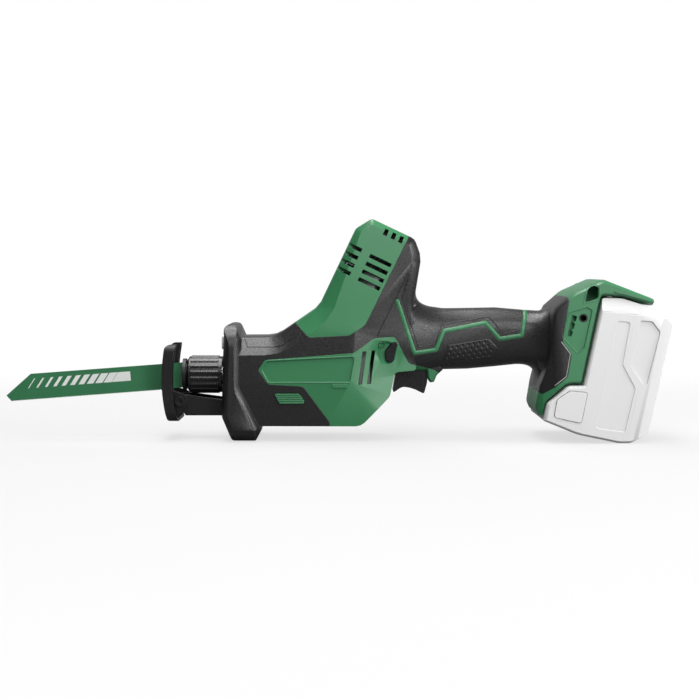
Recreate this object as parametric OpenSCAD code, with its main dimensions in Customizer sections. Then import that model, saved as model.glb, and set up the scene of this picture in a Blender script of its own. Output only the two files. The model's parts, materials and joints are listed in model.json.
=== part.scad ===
// Compact cordless reciprocating saw with its blade and battery pack.
// Millimetres. X runs from the blade tip (-) to the battery (+), Y to the operator's right, Z up.
// The tool stands on its nose foot and on the rear edge of the battery.

/* [Body] */
// Half width of the motor and gear housing
body_half = 31; // [28:0.5:34]
// Half width of the battery foot
mount_half = 37; // [34:0.5:40]
// Half width of the nose flange
flange_half = 34.5; // [33:0.5:36]
// Thickness of the soft overmould
grip_t = 1.6; // [1:0.1:2]
// Thickness of the hard shell under it
wall_t = 2.6; // [2:0.1:3]

/* [Drive] */
// Height of the plunger axis
plunger_z = 46; // [45:0.5:47]
// Centre of the crank gear along the tool
crank_x = -5; // [-6:0.5:-4]
// Lean of the motor from upright
motor_lean = 25.6; // [25:0.1:26]
// Radius of the motor seat in the housing
motor_r = 21; // [20:0.5:21.5]
// Crank throw, half of the saw stroke
crank_throw = 10; // [8:0.5:10]
// Teeth on the motor pinion
pinion_teeth = 8; // [8:1:10]
// Teeth on the crank gear
gear_teeth = 32; // [32:8:40]

/* [Clamp and blade] */
// Radius of the clamp sleeve
sleeve_r = 13.8; // [13:0.1:14]
// Length of the clamp sleeve
sleeve_len = 24; // [22:0.5:26]
// Blade length from tip to tang
blade_len = 150; // [120:5:150]
// Blade height
blade_h = 19; // [17:0.5:20]
// Blade thickness
blade_t = 1; // [0.9:0.05:1.3]
// Nose-down cant of the blade
blade_cant = 4.3; // [3:0.1:5]

/* [Shoe] */
// Half width of the saw shoe
shoe_half = 23; // [20:0.5:25]
// Half width of the blade slot in the shoe
shoe_slot = 13; // [11:0.5:15]
// Hinge pin radius
shoe_pin_r = 2.5; // [2:0.25:3]

/* [Battery] */
// Half width of the battery pack
pack_half = 38.5; // [37:0.5:40]
// Radius of one cell
cell_r = 9.2; // [9:0.1:9.2]
// Length of one cell
cell_len = 65; // [60:1:65]

/* [Fasteners] */
// Radius of the hook screw thread
hook_r = 2.1; // [1.6:0.1:2.6]
// Depth of the hook screw thread
hook_depth = 8; // [6:0.5:9]
// Radius of the housing screw shank
screw_r = 1.6; // [1.25:0.05:2]

/* [Hidden] */
$fn = 48;

// Battery rail: up runs along it, out points towards the pack
rail_at = [177, 0, 41.4];
rail_lean = 11.7;
function rail_point(out, up, r) = [
    rail_at[0] + out * cos(rail_lean) + up * sin(rail_lean),
    rail_at[2] - out * sin(rail_lean) + up * cos(rail_lean), r];

// Side outlines are [x, z, corner radius], counter-clockwise as seen from the left of the tool
body_outline = [
    [-95, 11, 3], [20.5, 10.8, 9], [41, 31.8, 3.5], [44.8, 49, 3], [60, 50, 2], [58, 97, 10],
    [63.5, 131, 12], [58.8, 144, 6], [28.3, 158.5, 4], [16.8, 151.5, 4], [-9.7, 96, 14],
    [-41.2, 74.3, 20], [-95, 74, 3]];
body_front = -73;
flange_outline = [
    [-78.7, 18, 6], [-71.2, 0, 4.5], [-54.2, 0, 3], [-51.5, 9, 3], [-64.6, 38, 8], [-64.6, 73, 3],
    [-69, 83.3, 3], [-76.7, 83.3, 4]];
mount_outline = [
    [144.5, 24.5, 4], [148.6, 15.2, 1.5], [151.4, 28.5, 3], [166.3, 41, 4], rail_point(0, 0, 1),
    rail_point(0, 63.2, 1.5), [204, 102.7, 10], [226, 96.5, 1.5], [228.5, 101.2, 2.5], [190.8, 115.8, 5],
    [169.5, 106.4, 12], [154.8, 93.5, 8], [152.8, 60, 10], [147.3, 40, 8]];

// Handle stations are [top x, top z, bottom x, bottom z, half width, squareness]
handle_stations = [
    [42, 96, 42, 54, 23.8, 3.6], [52, 99, 50, 50, 22.5, 3.3], [60, 98.6, 59, 48.3, 21, 3],
    [69, 95.8, 69, 48, 19.5, 2.7], [80, 94.2, 80, 49.6, 18.2, 2.5], [98, 94.4, 98, 50, 17, 2.5],
    [118, 94.8, 118, 51.8, 17, 2.5], [139, 93, 139, 54, 17.6, 2.5],
    [150, 92.4, 147, 51.5, 20.5, 2.6], [158, 95.5, 151, 44, 26, 2.9], [168, 103, 156, 39, 31, 3.2]];
$sides = 24;

// Green areas on the sides, seen from the left
tower_area = [
    [-25, 83, 1], [-16.3, 74.3, 3], [12, 75.7, 3], [23.3, 82.8, 4], [54.5, 146, 1], [40, 175, 1], [0, 165, 1],
    [-40, 100, 1]];
front_area = [
    [-52.4, 51.3, 2], [-45.4, 41, 3], [-20.6, 39.6, 5], [-1.5, 13.4, 3], [-4, 2, 1], [40, 0, 1], [66, 34, 1],
    [76, 38, 1], [77, 47.6, 1], [73.6, 49.9, 2], [54.5, 55.2, 4], [44.6, 74.6, 3], [29.7, 73.6, 4],
    [15.5, 63.3, 4], [-47.5, 58.4, 2]];
foot_area = [
    [132, 40, 1], [132, 5, 1], [240, 5, 1], [240, 125, 1], [165, 125, 1], [165, 106.2, 1], [166.4, 100.9, 6],
    [163.6, 83.3, 20], [162, 71, 5], [168.5, 62.9, 3], [165.7, 46.7, 4], [157.2, 39.6, 4], [148.8, 34, 2],
    [142, 37.5, 1]];
stripe_path = [
    [46.3, 99.9], [58.8, 62.7], [74.2, 64.9], [79.9, 78.4], [109.9, 84.2], [120, 72.7], [135.7, 75.2],
    [140.5, 100]];
stripe_w = 3;

// Green lip behind the trigger
lip_outline = [
    [67.5, 52, 1], [68.3, 44.5, 1], [70.4, 40.6, 1.2], [73.4, 41, 1.2], [75.4, 46, 3], [81, 51, 2],
    [76, 55, 1]];
lip_half = 12;

// Depth of the body's bevelled shoulders, seen from the side
shoulder_deep = 12.5;

// Crease on the body's sides, from the tower down to the belly; behind it they slope in towards the handle
crease_path = [[38.2, 130.6], [16.2, 79.6], [12.7, 42.8], [22.6, 15.9]];
crease_lean = 15;
// Below this height the sides also slope in, and their lower edges have small shoulders
belly_z = 42;
belly_lean = 7;
// Above this height the tower's sides draw in towards its top
tower_z = 78;
tower_lean = 6;

// Derived sizes
shell_t = grip_t + wall_t;
motor_dir = [sin(motor_lean), 0, cos(motor_lean)];
crank_at = [crank_x, 0, plunger_z];

// Outline helpers
function unit(v) = v / norm(v);
function left_of(v) = [-v[1], v[0]];
function flat(p) = [p[0], p[1]];
function turn(v, a) = [v[0] * cos(a) - v[1] * sin(a), v[0] * sin(a) + v[1] * cos(a)];

// Corner i of an outline after every edge has moved inwards by d
function inset_corner(pts, i, d) =
    let (n = len(pts), p = flat(pts[i]))
    let (u = unit(p - flat(pts[(i + n - 1) % n])), w = unit(flat(pts[(i + 1) % n]) - p))
    p + d * (left_of(u) + left_of(w)) / (1 + u * w);

// Arc that rounds corner p between neighbours a and b, in steps of about $arc degrees
$arc = 22.5;
function rounded_corner(a, p, b, r) =
    let (u = unit(a - p), w = unit(b - p), half = acos(u * w) / 2)
    let (centre = p + unit(u + w) * r / sin(half), first = p + u * r / tan(half) - centre)
    let (sweep = 180 - 2 * half, steps = max(1, round(sweep / $arc)))
    let (side = cross([u[0], u[1], 0], [w[0], w[1], 0])[2] < 0 ? 1 : -1)
    [for (k = [0:steps]) centre + turn(first, side * sweep * k / steps)];

// Whole outline, inset by d, with its corners rounded
function rounded_outline(pts, d = 0) =
    let (n = len(pts), c = [for (i = [0:n - 1]) inset_corner(pts, i, d)])
    [for (i = [0:n - 1])
        let (a = c[(i + n - 1) % n], p = c[i], b = c[(i + 1) % n])
        let (convex = (p[0] - a[0]) * (b[1] - p[1]) - (p[1] - a[1]) * (b[0] - p[0]) > 0)
        each rounded_corner(a, p, b, convex ? max(pts[i][2] - d, 0.4) : pts[i][2] + d)];

function loft_faces(rings, n) = concat(
    [[for (i = [n - 1:-1:0]) i]],
    [[for (i = [0:n - 1]) (rings - 1) * n + i]],
    [for (k = [0:rings - 2], i = [0:n - 1])
        let (a = k * n + i, b = k * n + (i + 1) % n)
        each [[a, b, b + n], [a, b + n, a + n]]]);

// Pillow: a side outline lofted across the tool with rounded shoulders [inset, y]; shrink thins it evenly
module pillow(pts, shoulders, shrink = 0) {
    top = len(shoulders) - 1;
    half = [for (k = [0:top]) [
        shoulders[k][0] + shrink * (1 - k / top), shoulders[k][1] - shrink * k / top]];
    layers = concat([for (k = [top:-1:0]) [half[k][0], -half[k][1]]], half);
    rings = [for (s = layers) [for (p = rounded_outline(pts, s[0])) [p[0], s[1], p[1]]]];
    polyhedron([for (r = rings) each r], loft_faces(len(rings), len(rings[0])), convexity = 8);
}

// Skin: superellipse sections lofted along the tool; shrink thins it evenly
module skin(stations, shrink = 0) {
    function power(v, e) = sign(v) * pow(abs(v), 2 / e);
    rings = [for (s = stations)
        let (top = [s[0], s[1]], low = [s[2], s[3]], mid = (top + low) / 2, up = (top - low) / 2)
        let (rise = up * (1 - shrink / norm(up)))
        [for (i = [0:$sides - 1])
            let (a = 360 * i / $sides, h = mid - rise * power(sin(a), s[5]))
            [h[0], (s[4] - shrink) * power(cos(a), s[5]), h[1]]]];
    polyhedron([for (r = rings) each r], loft_faces(len(rings), $sides), convexity = 6);
}

// Extrudes a side view across the tool, centred on the middle plane
module across(w) { rotate([90, 0, 0]) linear_extrude(w, center = true) children(); }

// Turns an upright shape at the origin onto the motor axis, t from the crank centre
module on_motor(t) { translate(crank_at + motor_dir * t) rotate([0, motor_lean, 0]) children(); }

// One half of the tool: side -1 is the left, 1 the right
module half(side) {
    intersection() {
        children();
        translate([0, side * 100, 100]) cube([700, 200, 300], center = true);
    }
}

// A moulded shell is freeform all over, so it is finished as one skin
module moulded() { resize([0, 0, 0]) children(); }

// Half-space outside a plane that leans in from the line a-b on the left side, h from the middle plane
module leaning_cut(a, b, lean, h) {
    translate([a[0], -h, a[1]]) rotate([0, -atan2(b[1] - a[1], b[0] - a[0]), 0]) rotate([-lean, 0, 0])
        translate([-150, -60, -150]) cube([300, 60, 300]);
}

module side_cuts(h) {
    leaning_cut([0, belly_z], [-40, belly_z], belly_lean, h);
    leaning_cut([0, tower_z], [40, tower_z], tower_lean, h);
    intersection() {
        leaning_cut(crease_path[0], crease_path[1], crease_lean, h);
        leaning_cut(crease_path[1], crease_path[2], crease_lean, h);
        leaning_cut(crease_path[2], crease_path[3], crease_lean, h);
    }
}

module body_form(shrink = 0) {
    deep = shoulder_deep;
    h = body_half;
    difference() {
        union() {
            pillow(body_outline, [[0, h - 1.04 * deep], [0.08 * deep, h - 0.84 * deep], [deep, h]], shrink);
            intersection() {
                pillow(body_outline, [[0, h - 3.5], [1, h - 1], [3.2, h]], shrink);
                translate([-100, -50, 0]) cube([200, 100, 58]);
            }
        }
        side_cuts(h - shrink);
        mirror([0, 1, 0]) side_cuts(h - shrink);
        translate([-100, -50, 0]) cube([100 + body_front + shrink, 100, 100]);
    }
}

// Battery foot, narrowed towards its front lip
module mount_form(shrink = 0) {
    w = mount_half - shrink;
    intersection() {
        pillow(mount_outline, [[0, mount_half - 12], [0.4, mount_half - 6], [1.2, mount_half - 2.2],
            [2.4, mount_half]], shrink);
        linear_extrude(130) polygon([
            [130, -w + 17], [144, -w + 13], [149, -w + 6], [161, -w - 2], [250, -w - 2], [250, w + 2],
            [161, w + 2], [149, w - 6], [144, w - 13], [130, w - 17]]);
    }
}
module handle_form(shrink = 0) { skin(handle_stations, shrink); }
module outer_form() {
    body_form();
    handle_form();
    mount_form($arc = 35);
    pillow(lip_outline, [[0, lip_half - 3], [0.5, lip_half - 1], [1.5, lip_half]]);
}

// The surface that the overmould covers, with fewer facets because it is hidden
module core_form() {
    body_form(grip_t, $arc = 45);
    handle_form(grip_t, $sides = 12);
    mount_form(grip_t, $arc = 60);
}

module stripe_2d() {
    for (i = [0:len(stripe_path) - 2]) {
        hull() {
            translate(stripe_path[i]) circle(stripe_w / 2, $fn = 10);
            translate(stripe_path[i + 1]) circle(stripe_w / 2, $fn = 10);
        }
    }
}

module green_2d() {
    polygon(rounded_outline(tower_area));
    polygon(rounded_outline(front_area));
    polygon(rounded_outline(foot_area));
    stripe_2d();
}

// Rear limit of the nose boot
module nose_2d() { polygon([[-90, -5], [0, -5], [0, 40], [-30, 60], [-20, 82], [-30, 90], [-90, 90]]); }

module nose_bore() {
    translate([-90, 0, plunger_z]) rotate([0, 90, 0]) cylinder(r = sleeve_r + 1.4, h = 29, $fn = 30);
    translate([-90, -14.5, 15]) cube([29, 29, 16]);
}

module flange_form() {
    intersection() {
        pillow(flange_outline, [[0, flange_half - 7], [0.7, flange_half - 5], [2.2, flange_half - 2.2],
            [4.6, flange_half]]);
        rotate([90, 0, 90]) translate([0, 0, -90]) linear_extrude(60) hull() {
            for (s = [-1, 1]) {
                translate([s * (flange_half - 17), 83.3 - 17]) circle(17, $fn = 20);
                translate([s * (flange_half - 12), 12]) circle(12, $fn = 20);
            }
        }
    }
}

// A round bar on the plunger axis
module along_x(x, r, h) { translate([x, 0, plunger_z]) rotate([0, 90, 0]) cylinder(r = r, h = h); }

// Gear case and its cover
case_outline = [
    [-55, 31, 3], [-27, 29, 4], [-17, 19, 6], [8, 17.6, 6], [24, 27, 5], [27, 42, 5], [27, 58, 6],
    [20, 74, 6], [-8, 82, 8], [-30, 69, 6], [-55, 66, 4]];
case_half = 20;
case_front = -63.4;
case_wall = 7;
gear_space_r = 27.2;
cover_t = 2.5;

module gear_case() {
    color([0.7, 0.7, 0.72]) difference() {
        union() {
            across(2 * case_half) polygon(rounded_outline(case_outline));
            on_motor(20) cylinder(r = 14, h = 17);
            along_x(case_front, 13.4, 12);
        }
        translate(crank_at + [0, case_wall - case_half, 0]) rotate([-90, 0, 0])
            cylinder(r = gear_space_r, h = 2 * case_half);
        along_x(case_front - 1, bush_r, 50);
        for (p = cover_screw_spots) {
            translate([p[0], case_half - 4, p[1]]) rotate([-90, 0, 0]) cylinder(r = screw_r, h = 10);
        }
        translate(crank_at - [0, case_half + 1, 0]) rotate([-90, 0, 0]) cylinder(r = spindle_seat_r, h = 12);
        on_motor(24) cylinder(r = 5, h = 14);
        on_motor(30) cylinder(r = motor_seat_r, h = 8);
    }
}

module gear_cover() {
    color([0.6, 0.6, 0.62]) difference() {
        translate([0, case_half + cover_t / 2, 0]) across(cover_t) polygon(rounded_outline(case_outline, 3));
        for (p = cover_screw_spots) {
            translate([p[0], 0, p[1]]) rotate([-90, 0, 0]) cylinder(r = screw_r, h = 30);
        }
    }
}

// Plunger, its bushes and seal
bush_r = 11;
rod_r = 7.5;
rod_from = -84;
rod_to = -47.5;
yoke_x = crank_x - crank_throw + 4;
yoke_half = [5.5, 3, 14.5];
neck_h = 13;
pin_r = 2.8;

module bush(x, length) {
    translate([x, 0, plunger_z]) rotate([0, 90, 0]) difference() {
        cylinder(r = bush_r, h = length);
        translate([0, 0, -1]) cylinder(r = rod_r + 0.04, h = length + 2);
    }
}

module front_bush() { color([0.75, 0.6, 0.35]) bush(case_front + 2.4, 5.5); }
module rear_bush() { color([0.75, 0.6, 0.35]) bush(-54, 5.5); }
module dust_seal() {
    color([0.1, 0.1, 0.1]) translate([case_front, 0, plunger_z]) rotate([0, 90, 0]) difference() {
        cylinder(r = bush_r, h = 2.4);
        translate([0, 0, -1]) cylinder(r = rod_r + 0.08, h = 5);
    }
}

module plunger() {
    color([0.75, 0.76, 0.78]) difference() {
        union() {
            along_x(rod_from, rod_r, rod_to - rod_from);
            translate([rod_to - 1, -yoke_half[1], plunger_z - neck_h / 2])
                cube([yoke_x - rod_to, 2 * yoke_half[1], neck_h]);
            translate([yoke_x, 0, plunger_z]) cube(2 * yoke_half, center = true);
        }
        across(20) hull() {
            for (s = [-1, 1]) {
                translate([yoke_x, plunger_z + s * (crank_throw - 0.4)]) circle(pin_r + 0.1, $fn = 32);
            }
        }
    }
}

// Bevel pair: both pitch cones share their apex at the crank centre
pinion_far = 26;
pinion_near = 19.5;
cone = pinion_teeth / gear_teeth;
pinion_tip = 7.5;
pinion_root = 4.8;
spindle_r = 5;
spindle_seat_r = 9;
motor_seat_r = 8;
shaft_r = 2.5;
gear_back = -12.4;
gear_teeth_phase = 180 / gear_teeth;

module drive_pinion() {
    color([0.55, 0.55, 0.58]) difference() {
        on_motor(pinion_far) rotate([180, 0, 0])
            linear_extrude(pinion_far - pinion_near, scale = pinion_near / pinion_far) {
                circle(pinion_root, $fn = 32);
                for (k = [0:pinion_teeth - 1]) {
                    rotate(90 + 360 * k / pinion_teeth)
                        polygon([[pinion_root - 1, -1.2], [pinion_tip, -0.45], [pinion_tip, 0.45],
                            [pinion_root - 1, 1.2]]);
                }
            }
        on_motor(pinion_near - 1) cylinder(r = shaft_r, h = 9);
    }
}

// One gear tooth: a bar that narrows towards the cone apex; sizes are at the outer end
module gear_tooth(root, tip, root_half, tip_half) {
    ends = [pinion_near, pinion_far];
    pts = [for (r = ends) let (k = r / pinion_far) each [
        [r, -root_half * k, -r * cone - root * k], [r, root_half * k, -r * cone - root * k],
        [r, tip_half * k, -r * cone + tip * k], [r, -tip_half * k, -r * cone + tip * k]]];
    polyhedron(pts, [
        [0, 1, 2], [0, 2, 3], [4, 6, 5], [4, 7, 6], [0, 5, 1], [0, 4, 5], [1, 6, 2], [1, 5, 6], [2, 7, 3],
        [2, 6, 7], [3, 4, 0], [3, 7, 4]]);
}

module crank_gear() {
    color([0.5, 0.5, 0.53]) translate(crank_at) rotate([-90, 0, 0]) difference() {
        union() {
            rotate_extrude($fn = 96) polygon([
                [0, gear_back], [pinion_far, gear_back], [pinion_far, -pinion_far * cone - 1.5],
                [pinion_near, -pinion_near * cone - 1.2], [17, -6], [0, -6]]);
            rotate(motor_lean - 90 + gear_teeth_phase) {
                for (k = [0:gear_teeth - 1]) rotate(360 * k / gear_teeth) gear_tooth(1.9, 1, 1.2, 0.5);
            }
        }
        translate([0, 0, gear_back - 1]) cylinder(r = spindle_r, h = 20);
    }
}

module crank_spindle() {
    color([0.8, 0.8, 0.82]) translate(crank_at + [0, -case_half, 0]) rotate([-90, 0, 0])
        cylinder(r = spindle_r, h = case_half - 6);
}

module crank_pin() {
    color([0.8, 0.8, 0.82]) translate([yoke_x, -6, plunger_z + crank_pin_rise]) rotate([-90, 0, 0])
        cylinder(r = pin_r, h = 2.6);
}
crank_pin_rise = sqrt(crank_throw * crank_throw - (yoke_x - crank_x) * (yoke_x - crank_x));

module ring(outer, inner, h) {
    difference() {
        cylinder(r = outer, h = h);
        translate([0, 0, -1]) cylinder(r = inner, h = h + 2);
    }
}

module spindle_bearing() {
    color([0.65, 0.66, 0.7]) translate(crank_at + [0, -case_half, 0]) rotate([-90, 0, 0])
        ring(spindle_seat_r, spindle_r + 0.03, case_wall);
}

// Motor
motor_from = 50;
motor_len = 30;
rotor_r = 11;
pole_count = 6;

module motor_shaft() { color([0.8, 0.8, 0.82]) on_motor(18) cylinder(r = shaft_r, h = 83); }
module motor_bearing_front() { color([0.65, 0.66, 0.7]) on_motor(30) ring(motor_seat_r, shaft_r + 0.03, 5); }
module motor_bearing_rear() { color([0.65, 0.66, 0.7]) on_motor(94) ring(6.5, shaft_r + 0.03, 4.5); }
module rotor_core() { color([0.45, 0.45, 0.48]) on_motor(motor_from) ring(rotor_r, shaft_r, motor_len); }

module cooling_fan() {
    color([0.2, 0.2, 0.22]) on_motor(38.5) {
        ring(18.5, shaft_r, 1.5);
        ring(6, shaft_r, 8);
        for (k = [0:10]) {
            rotate(360 * k / 11) translate([5.5, -0.6, 0.5]) cube([12.5, 1.2, 7]);
        }
    }
}

module stator_core() {
    color([0.4, 0.4, 0.42]) on_motor(motor_from) {
        ring(motor_r - 0.1, 17, motor_len);
        for (k = [0:pole_count - 1]) {
            rotate(360 * k / pole_count) {
                translate([12.5, -2.5, 0]) cube([5, 5, motor_len]);
                translate([rotor_r + 0.6, -5, 0]) cube([1.6, 10, motor_len]);
            }
        }
    }
}

module stator_windings() {
    color([0.72, 0.42, 0.2]) on_motor(motor_from - 3) {
        for (k = [0:pole_count - 1]) {
            rotate(360 * k / pole_count) difference() {
                translate([13.4, -4.6, 0]) cube([2.9, 9.2, motor_len + 6]);
                translate([12, -2.55, 2.95]) cube([6, 5.1, motor_len + 0.1]);
            }
        }
    }
}

// Blade clamp
sleeve_x = -104;
clamp_x = -97;
tang_back = 8;
clamp_core_r = 8.5;
clamp_body_r = 10.4;

// Turns a flat side view about the clamp point onto the canted blade line
module on_blade() { translate([clamp_x, 0, plunger_z]) rotate([0, -blade_cant, 0]) children(); }

module blade_slot() {
    on_blade() translate([-20, -blade_t / 2 - 0.2, -blade_h / 2 - 0.4])
        cube([tang_back + 20.4, blade_t + 0.4, blade_h + 0.8]);
}

module clamp_body() {
    color([0.4, 0.4, 0.42]) difference() {
        union() {
            along_x(sleeve_x - 5, clamp_core_r, sleeve_len + 1);
            along_x(sleeve_x, clamp_body_r, sleeve_len);
        }
        blade_slot();
        along_x(rod_from, rod_r, 5);
    }
}

sleeve_ribs = 18;
sleeve_rib_r = 1.6;
module clamp_sleeve() {
    color([0.1, 0.1, 0.11]) difference() {
        union() {
            along_x(sleeve_x, sleeve_r - 0.7, sleeve_len);
            translate([sleeve_x - 2, 0, plunger_z]) rotate([0, 90, 0])
                cylinder(r1 = sleeve_r - 4, r2 = sleeve_r - 0.7, h = 2);
            for (k = [0:sleeve_ribs - 1]) {
                translate([sleeve_x + 1.5, 0, plunger_z]) rotate([360 * k / sleeve_ribs, 0, 0])
                    translate([0, 0, sleeve_r - sleeve_rib_r]) rotate([0, 90, 0])
                        cylinder(r = sleeve_rib_r, h = sleeve_len - 4);
            }
        }
        along_x(sleeve_x - 5, clamp_body_r + 0.1, sleeve_len + 10);
    }
}

module clamp_ring() {
    color([0.55, 0.56, 0.58]) difference() {
        along_x(sleeve_x - 4.8, 11.5, 2.4);
        along_x(sleeve_x - 6, clamp_core_r, 8);
        blade_slot();
    }
}

module saw_blade() {
    tooth = 1.06;
    front = blade_len - tang_back;
    half_h = blade_h / 2;
    color([0.17, 0.42, 0.27]) on_blade() across(blade_t) difference() {
        polygon(concat(
            [[tang_back, -5], [tang_back, 5], [2, 6.5], [-6, half_h], [-front + 19, half_h],
                [-front, -half_h + 4.5], [-front + 3.5, -half_h]],
            [for (k = [0:floor((front - 26) / tooth)]) let (x = -front + 4 + k * tooth)
                each [[x, -half_h], [x + 0.25, -half_h + 0.7], [x + tooth, -half_h]]],
            [[-20, -half_h + 0.8], [-8, -half_h + 0.8]]));
        translate([2, 0]) circle(1.6, $fn = 24);
    }
}

// Shoe
shoe_pin_at = [-109.7, 27.7];
shoe_bend = 122;
shoe_low = 13.3;
shoe_high = 68.4;
shoe_t = 2.2;
shoe_deep = 7.2;
shoe_mid_z = 44;
shoe_front = -121.9;
cheek_in = 9.5;
cheek_out = 12;

module shoe_disc(inner) {
    translate([shoe_front + shoe_bend, shoe_mid_z]) circle(shoe_bend - inner, $fn = 360);
}

module pin_bore(r) {
    translate([shoe_pin_at[0], -shoe_half - 1, shoe_pin_at[1]]) rotate([-90, 0, 0])
        cylinder(r = r, h = 2 * shoe_half + 2);
}

// Front view of the shoe, thinned all round by inset: two prongs with round ends, open at the top
module shoe_front_2d(inset) {
    difference() {
        hull() {
            for (s = [-1, 1]) {
                translate([s * (shoe_half - 5), shoe_high - 5]) circle(5 - inset, $fn = 32);
                translate([s * (shoe_half - 8), shoe_low + 8]) circle(8 - inset, $fn = 32);
            }
        }
        hull() {
            for (s = [-1, 1]) {
                translate([s * (shoe_slot - 6), 27.5]) circle(6 + inset, $fn = 32);
                translate([s * (shoe_slot - 1), 80]) circle(1 + inset, $fn = 32);
            }
        }
    }
}

// Side view of the shoe: a bent band with rounded ends
module shoe_side_2d() {
    intersection() {
        difference() {
            shoe_disc(0);
            shoe_disc(shoe_deep);
        }
        polygon(rounded_outline([
            [-123, 41, 20], [-118.6, shoe_low, 3], [-109, shoe_low, 2], [-111, shoe_high, 2],
            [-119.8, shoe_high, 4]]));
    }
}

// Tray: the band within the front view, hollowed from behind so that a rim is left all round
module shoe_tray() {
    difference() {
        intersection() {
            across(2 * shoe_half) shoe_side_2d();
            rotate([90, 0, 90]) translate([0, 0, -140]) linear_extrude(60) shoe_front_2d(0);
        }
        intersection() {
            across(2 * shoe_half) shoe_disc(shoe_t);
            rotate([90, 0, 90]) translate([0, 0, -140]) linear_extrude(60) shoe_front_2d(shoe_t);
        }
    }
}

module shoe_plate() {
    color([0.09, 0.09, 0.1]) difference() {
        union() {
            shoe_tray();
            for (s = [-1, 1]) {
                translate([0, s * (cheek_out + 1.9), 0]) across(3) hull() {
                    translate(shoe_pin_at) circle(5.6, $fn = 32);
                    translate([-118.6, 16.5]) circle(1, $fn = 12);
                    translate([-113, 17]) circle(2, $fn = 12);
                    translate([-119.6, 36]) circle(1, $fn = 12);
                }
            }
        }
        pin_bore(shoe_pin_r + 0.05);
    }
}

module shoe_pin() {
    end = cheek_out + 5.6;
    color([0.2, 0.2, 0.21]) translate([shoe_pin_at[0], 0, shoe_pin_at[1]]) rotate([-90, 0, 0]) difference() {
        union() {
            translate([0, 0, -end + 1]) cylinder(r = shoe_pin_r, h = 2 * end - 2);
            for (z = [-end, end - 2]) translate([0, 0, z]) cylinder(r = 3.8, h = 2);
        }
        for (z = [-end - 1, end - 1.4]) translate([0, 0, z]) cylinder(r = 2, h = 2.4, $fn = 6);
    }
}

bracket_front = -106;
bracket_rear = -36;
bracket_floor = 17;
module shoe_bracket() {
    color([0.1, 0.1, 0.11]) difference() {
        union() {
            for (s = [-1, 1]) {
                translate([0, s * (cheek_in + cheek_out) / 2, 0]) across(cheek_out - cheek_in) union() {
                    translate(shoe_pin_at) circle(4.2);
                    polygon([[-109.7, 31.9], [-104, 31.9], [-95, 30.5], [-78, 28.2], [-70, 25.5],
                        [bracket_rear, 25.5], [bracket_rear, bracket_floor], [bracket_front, bracket_floor],
                        [-110.2, 23.6]]);
                }
            }
            translate([bracket_front, -cheek_in - 0.5, bracket_floor])
                cube([bracket_rear - bracket_front, 2 * cheek_in + 1, 2.4]);
        }
        pin_bore(shoe_pin_r);
        for (x = [-64:7:-43]) translate([x, -4, 10]) cube([3.5, 8, 12]);
    }
}

module bracket_guide() {
    color([0.6, 0.6, 0.62]) difference() {
        translate([-60.5, -14.5, 15.4]) cube([25, 29, 12]);
        translate([-61, -cheek_out - 0.4, bracket_floor - 0.4]) cube([26, 2 * cheek_out + 0.8, 9.3]);
    }
}

// Controls
button_outline = [
    [-41.6, 34.8, 1], [-37.4, 27.1, 1.5], [-20.6, 27.1, 1.5], [-19, 28.8, 1.5], [-23.1, 34.8, 1]];
button_face = -31.4;
module shoe_button() {
    color([0.2, 0.5, 0.33]) difference() {
        union() {
            translate([0, button_face + 2, 0]) across(4) polygon(rounded_outline(button_outline, 0.3));
            translate([-29, button_face + 4, 31.2]) rotate([-90, 0, 0]) cylinder(r = 2.4, h = 4.1);
        }
        for (z = [28.3:1.4:32.6]) translate([-45, button_face - 0.5, z]) cube([30, 1, 0.7]);
    }
}

trigger_outline = [
    [46, 54, 1], [45.6, 45, 6], [43.5, 32.8, 0.8], [50.5, 37.6, 5], [58, 36.4, 14], [66.3, 32.3, 1.2],
    [68.6, 41, 8], [69, 54, 1]];
trigger_half = 8.5;
module trigger() {
    color([0.1, 0.1, 0.11]) {
        across(2 * trigger_half) polygon(rounded_outline(trigger_outline));
        translate([60, 0, 53]) cylinder(r = 3, h = 9);
    }
}

lock_outline = [[38.4, 57.3, 1.5], [42.9, 56.4, 1], [46.4, 70.4, 1], [42.4, 70, 2], [37.8, 64, 3]];
lock_ends = [-25.6, 23.2];
module lock_button() {
    color([0.1, 0.1, 0.11]) translate([0, (lock_ends[0] + lock_ends[1]) / 2, 0])
        across(lock_ends[1] - lock_ends[0]) polygon(rounded_outline(lock_outline));
}

module switch_body() {
    color([0.16, 0.16, 0.17]) difference() {
        translate([50, -10, 66]) cube([36, 20, 19]);
        translate([60, 0, 60]) cylinder(r = 3.3, h = 16);
    }
}
module control_board() { color([0.1, 0.35, 0.2]) translate([92, -9, 64]) cube([34, 18, 1.6]); }

// Battery foot and pack
module on_rail() { translate(rail_at) rotate([0, rail_lean, 0]) children(); }
rail_gap = 0.35;

// T-shaped tongue of the pack, or with grow its slot in the foot
module rail_tongue(grow, top) {
    on_rail() {
        translate([-4.6 - grow, -20.5 - grow, -30]) cube([9, 41 + 2 * grow, 30 + top]);
        translate([-9 - grow, -24.5 - grow, -30]) cube([4.4 + 2 * grow, 49 + 2 * grow, 30 + top]);
    }
}

module terminal_box(grow) {
    on_rail() translate([-9.4 - grow, -16 - grow, 46 - grow])
        cube([9 + 2 * grow, 32 + 2 * grow, 8 + 2 * grow]);
}
module terminal_block() { color([0.1, 0.1, 0.11]) terminal_box(0); }
blade_spots = [-12, -4, 4, 12];
module terminal_blades() {
    color([0.8, 0.65, 0.35]) on_rail() {
        for (y = blade_spots) translate([-6.4, y - 0.4, 34]) cube([4, 0.8, 12]);
    }
}

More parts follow.
